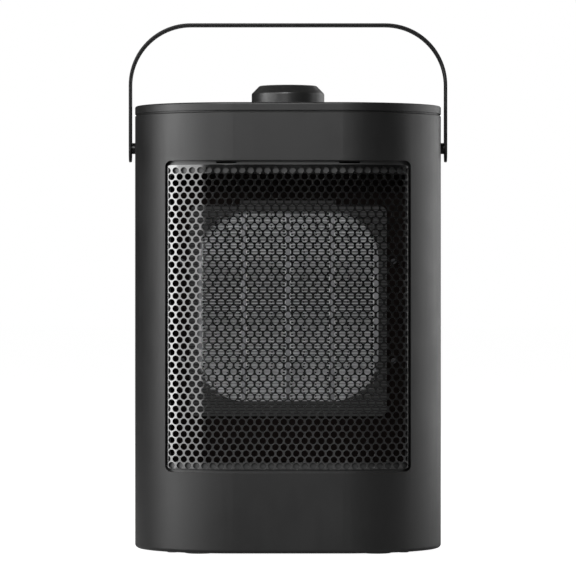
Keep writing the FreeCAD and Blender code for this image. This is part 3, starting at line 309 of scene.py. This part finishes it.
def woven(name, thread, gap):
    """A coarse plain weave: two crossed sets of threads over dark gaps, with caught fluff."""
    pitch, relief = 0.0012, 0.0002
    material, made, shader = new_material(name)
    parts = made.add("SeparateXYZ", {0: made.place()}).outputs
    waves = []
    for axis in ("X", "Z"):
        turns = made.math("MULTIPLY", parts[axis], 2 * math.pi / pitch)
        waves.append(made.math("ABSOLUTE", made.math("SINE", turns)))
    height = made.math("MAXIMUM", *waves)
    fluff = made.ramp(made.noise(0.004, detail=6.0, rough=0.7), 0.55, 0.75)
    base = made.mix(made.ramp(height, 0.72, 0.9), gap, thread)
    base = made.mix(made.math("MULTIPLY", fluff, 0.35), base, FLUFF_TONE)
    rough = made.ramp(fluff, 0.0, 1.0, 0.7, 0.95)
    join(made, shader, base, rough, height, relief)
    return material


def make_materials():
    """One finish for each material slot of the record, and one for the fin tongues."""
    return {
        "shell": plastic("shell_plastic", grey(0.0055), 0.43, worn=0.25),
        "base": plastic("base_plastic", grey(0.018), 0.55, worn=0.3),
        "intake": plastic("intake_plastic", grey(0.024), 0.5, worn=0.3),
        "foot": plastic("foot_rubber", grey(0.012), 0.8, grain=0.0006, worn=0.1),
        "grille": powder_coat("grille_coat", grey(0.002), 0.15, coat=1.0, chips=0.03,
                              relief=0.000006, coat_roughness=0.12, specular=0.9,
                              rounding=0.00012),
        "grille_frame": plastic("frame_plastic", grey(0.022), 0.4, worn=0.2, dusty=0.1),
        "filter": woven("filter_mesh", grey(0.014), grey(0.0015)),
        "duct": plastic("duct_plastic", (0.0045, 0.0022, 0.0015, 1.0), 0.7, worn=0.0, dusty=0.0,
                        specular=0.1),
        # the heater case gets painted shade of level grooves as dark lines
        "heater_case": plastic("heater_plastic", grey(0.034), 0.6, worn=0.2, dusty=0.1,
                               groove_shade_pitch=0.00165),
        "heater_bar": metal("bar_aluminium", (0.34, 0.34, 0.35, 1.0), 0.5),
        "fin": metal("fin_aluminium", (0.96, 0.96, 0.97, 1.0), 0.58, along=(0.05, 1.0, 1.0)),
        # painted shade: the tongues take a darker copy of the fin aluminium, darkened further
        # around 0.14 m, the camera's level height
        "tongue": metal("tongue_aluminium_painted_shade", (0.84, 0.84, 0.85, 1.0), 0.42, along=(0.05, 1.0, 1.0),
                        painted_shade_height=0.14),
        "terminal": metal("terminal_brass", (0.72, 0.55, 0.26, 1.0), 0.3),
        "cutoff": metal("cutoff_aluminium", (0.7, 0.7, 0.7, 1.0), 0.35),
        "fuse": plastic("fuse_glaze", (0.62, 0.58, 0.48, 1.0), 0.25, worn=0.0),
        "fan_case": plastic("fan_case_plastic", grey(0.016), 0.5),
        "fan_blade": plastic("fan_blade_plastic", grey(0.02), 0.4),
        "motor": metal("motor_zinc", (0.55, 0.56, 0.57, 1.0), 0.35),
        "steel": metal("bright_steel", (0.58, 0.58, 0.59, 1.0), 0.25),
        "screw": metal("black_zinc", (0.09, 0.09, 0.095, 1.0), 0.35),
        "switch_case": plastic("switch_phenolic", grey(0.02), 0.5),
        "nut": metal("nut_nickel", (0.66, 0.62, 0.52, 1.0), 0.28),
        "knob": plastic("knob_plastic", grey(0.016), 0.34, grain=0.0003, worn=0.1),
        "pointer": plastic("pointer_print", grey(0.62), 0.45, worn=0.0),
        "strap": powder_coat("strap_coat", grey(0.004), 0.34, specular=0.25),
        "bush": plastic("bush_acetal", grey(0.02), 0.35),
        "plunger": plastic("plunger_acetal", (0.55, 0.55, 0.52, 1.0), 0.4, worn=0.1),
        "gland": plastic("gland_nylon", grey(0.014), 0.5),
        "block": plastic("block_nylon", (0.6, 0.6, 0.55, 1.0), 0.45, worn=0.1),
        "wire": plastic("wire_silicone", grey(0.03), 0.5, worn=0.0),
    }


def dress(materials):
    """Gives every CAD node the finish of its slot."""
    for entry in frame["record"]["subparts"]:
        mesh = frame["nodes"][entry["node"]].data
        mesh.materials.clear()
        mesh.materials.append(materials[entry["material_slot"]])


# ---------------------------------------------------------------- pieces added to the CAD
def add_piece(name, corners, faces, slot, material):
    """Adds a mesh, given in millimetres, that rides on the housing."""
    mesh = bpy.data.meshes.new(name)
    mesh.from_pydata([Vector(corner) * MM for corner in corners], [], faces)
    mesh.update()
    mesh.materials.append(material)
    item = bpy.data.objects.new(name, mesh)
    bpy.context.scene.collection.objects.link(item)
    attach(item, "housing")


def band(inner, outer, low, high):
    """A ring of print between two outlines of equally many points, open underneath."""
    count = len(outer)
    corners = [(x, y, z) for outline, z in ((outer, high), (inner, high), (outer, low),
                                            (inner, low)) for x, y in outline]
    faces = []
    for here in range(count):
        there = (here + 1) % count
        faces.append((here, there, there + count, here + count))
        faces.append((here + 2 * count, there + 2 * count, there, here))
        faces.append((there + 3 * count, here + 3 * count, here + count, there + count))
    return corners, faces


def solid(outline, low, high):
    """A flat patch of print with that outline, open underneath."""
    count = len(outline)
    corners = [(x, y, high) for x, y in outline] + [(x, y, low) for x, y in outline]
    faces = [tuple(range(count))]
    for here in range(count):
        there = (here + 1) % count
        faces.append((here + count, there + count, there, here))
    return corners, faces


def merged(shapes):
    """Several shapes as the corners and faces of one mesh."""
    corners, faces = [], []
    for points, sides in shapes:
        faces += [tuple(index + len(corners) for index in side) for side in sides]
        corners += points
    return corners, faces


def oval(centre, across, along, count=28):
    """The outline of an ellipse with those two radii."""
    angles = [2 * math.pi * step / count for step in range(count)]
    return [(centre[0] + across * math.cos(turn), centre[1] + along * math.sin(turn))
            for turn in angles]


def turned(points, degrees, centre):
    """The outline turned about a centre, seen from above."""
    turn = math.radians(degrees)
    return [(centre[0] + (x - centre[0]) * math.cos(turn) - (y - centre[1]) * math.sin(turn),
             centre[1] + (x - centre[0]) * math.sin(turn) + (y - centre[1]) * math.cos(turn))
            for x, y in points]


def dial_marks(materials):
    """Printed signs on the lid at the knob's four stops: off, fan only, low and high heat."""
    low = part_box("top_lid")[1][2] / MM
    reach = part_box("control_knob")[1][0] / MM + 7.0
    high = low + 0.05
    half_wide, half_long, spread = 0.45, 2.2, 0.9
    white = materials["pointer"]

    def bar(x, y):
        left, right, front, back = x - half_wide, x + half_wide, y - half_long, y + half_long
        return solid([(left, front), (right, front), (right, back), (left, back)], low, high)

    off = (0.0, -reach)
    ring = band(oval(off, 1.2, 1.7), oval(off, 1.9, 2.4), low, high)
    add_piece("dial_mark_off", *ring, "pointer", white)

    hub = (-reach, 0.0)
    blade = [(hub[0] + x, hub[1] + y) for x, y in
             ((0.4, 0.3), (1.0, 0.2), (1.9, 0.5), (2.5, 1.3), (2.3, 2.1), (1.6, 2.3),
              (0.9, 1.9), (0.5, 1.2))]
    fan = [solid(turned(blade, 120 * count, hub), low, high) for count in range(3)]
    fan.append(solid(oval(hub, 0.35, 0.35, count=12), low, high))
    add_piece("dial_mark_fan", *merged(fan), "pointer", white)

    add_piece("dial_mark_low", *bar(0.0, reach), "pointer", white)
    pair = merged([bar(reach - spread, 0.0), bar(reach + spread, 0.0)])
    add_piece("dial_mark_high", *pair, "pointer", white)


def tongue(left, right, front, root):
    """One strip lanced out of a fin: it rises from its root and leans back."""
    tall, lean, thick = 0.85, 0.28, 0.12
    edges = (front, root), (front + lean, root + tall)
    corners = [(x, y + step, z) for step in (0.0, thick) for x in (left, right)
               for y, z in edges]
    return corners, [(0, 2, 3, 1), (4, 5, 7, 6), (0, 1, 5, 4), (2, 6, 7, 3), (1, 3, 7, 5),
                     (0, 4, 6, 2)]


def fin_louvres(materials):
    """Rows of small tongues in every fold of the four fin packs."""
    fold_pitch, folds, fin_thick = 1.6, 66, 0.3
    margin, long, long_pitch, stagger = 1.1, 5.7, 6.5, 0.3
    for pack in range(1, 5):
        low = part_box(f"fin_pack_{pack}")[0]
        start, face, bottom = (part / MM for part in low)
        shapes = []
        for fold in range(folds):
            root = bottom + fin_thick + fold * fold_pitch
            for front in (face + 2.8, face + 7.0):
                for place in range(3):
                    left = start + margin + place * long_pitch + stagger * (fold % 2)
                    shapes.append(tongue(left, left + long, front, root))
        add_piece(f"fin_louvres_{pack}", *merged(shapes), "fin", materials["tongue"])


# ---------------------------------------------------------------- stage, light and camera
def camera():
    """A long lens, level and square to the front, at the height of the body's middle."""
    away, level = 2.1044, 0.1435
    data = bpy.data.cameras.new("camera")
    data.sensor_width = 36.0
    data.lens = 238.8
    data.clip_end = 50.0
    view = bpy.data.objects.new("camera", data)
    view.location = (0.0, -away, level)
    view.rotation_euler = (math.pi / 2, 0.0, 0.0)
    bpy.context.scene.collection.objects.link(view)
    bpy.context.scene.camera = view


def softbox(name, azimuth, power, elevation, distance, width, tall):
    """An area light aimed at the heater; azimuth 0 is the camera's side, positive is right."""
    data = bpy.data.lights.new(name, "AREA")
    data.shape = "RECTANGLE"
    data.size, data.size_y = width, tall
    data.energy = power
    lamp = bpy.data.objects.new(name, data)
    turn, rise = math.radians(azimuth), math.radians(elevation)
    lamp.location = LAMP_AIM + distance * Vector((math.cos(rise) * math.sin(turn),
                                                  -math.cos(rise) * math.cos(turn),
                                                  math.sin(rise)))
    lamp.rotation_euler = (LAMP_AIM - lamp.location).to_track_quat("-Z", "Y").to_euler()
    bpy.context.scene.collection.objects.link(lamp)


def lights():
    """A tall key wrapping the left side, a rim behind the right, and small lamps above."""
    strip = {"elevation": 12, "distance": 1.2, "width": 0.32, "tall": 1.0}
    square = {"distance": 1.5, "width": 0.3, "tall": 0.3}
    for place, azimuth, power in (("edge", -92, 2.0), ("outer", -76, 6.9), ("middle", -60, 3.4),
                                  ("inner", -45, 2.9)):
        softbox(f"key_{place}", azimuth, power, **strip)
    for place, azimuth, power in (("edge", 90, 1.9), ("middle", 110, 2.3), ("back", 130, 2.6),
                                  ("far", 150, 1.2)):
        softbox(f"rim_{place}", azimuth, power, **strip)
    softbox("front_high", -10, 8.5, elevation=33, **square)
    softbox("front_left", -30, 2.5, elevation=24, **square)
    softbox("front_low", -10, 5.2, elevation=24, **square)
    softbox("above_back", 180, 2.6, elevation=45, distance=1.4, width=0.8, tall=0.4)


def backdrop():
    """A white surround that the camera sees, and a much dimmer one that lights the heater."""
    world = bpy.data.worlds.new("studio")
    bpy.context.scene.world = world
    world.use_nodes = True
    world.node_tree.nodes.clear()
    made = Tree(world.node_tree)
    lit, seen = 0.014, 1.0
    camera_ray = made.add("LightPath").outputs["Is Camera Ray"]
    strength = made.ramp(camera_ray, 0.0, 1.0, lit, seen)
    glow = made.add("Background", {"Color": grey(1.0), "Strength": strength})
    output = made.add("OutputWorld")
    made.tree.links.new(glow.outputs[0], output.inputs["Surface"])


def floor():
    """A wide pale floor; what the camera sees of it is lifted towards white."""
    mesh = bpy.data.meshes.new("floor")
    reach = 12.0
    mesh.from_pydata([(-reach, -reach, 0), (reach, -reach, 0), (reach, reach, 0),
                      (-reach, reach, 0)], [], [(0, 1, 2, 3)])
    plate = bpy.data.objects.new("floor", mesh)
    bpy.context.scene.collection.objects.link(plate)
    material = bpy.data.materials.new("floor_paper")
    material.use_nodes = True
    material.node_tree.nodes.clear()
    made = Tree(material.node_tree)
    tone = made.mix(made.noise(0.4), grey(0.44), grey(0.48))
    paper = made.add("BsdfDiffuse", {"Color": tone})
    camera_ray = made.add("LightPath").outputs["Is Camera Ray"]
    strength = made.math("MULTIPLY", camera_ray, 0.99)
    lift = made.add("Emission", {"Color": grey(1.0), "Strength": strength})
    both = made.add("AddShader", {0: paper.outputs[0], 1: lift.outputs[0]})
    output = made.add("OutputMaterial")
    made.tree.links.new(both.outputs[0], output.inputs["Surface"])
    mesh.materials.append(material)


finishes = make_materials()
dress(finishes)
dial_marks(finishes)
fin_louvres(finishes)
camera()
floor()
backdrop()
lights()
bpy.context.scene.view_settings.view_transform = "Standard"
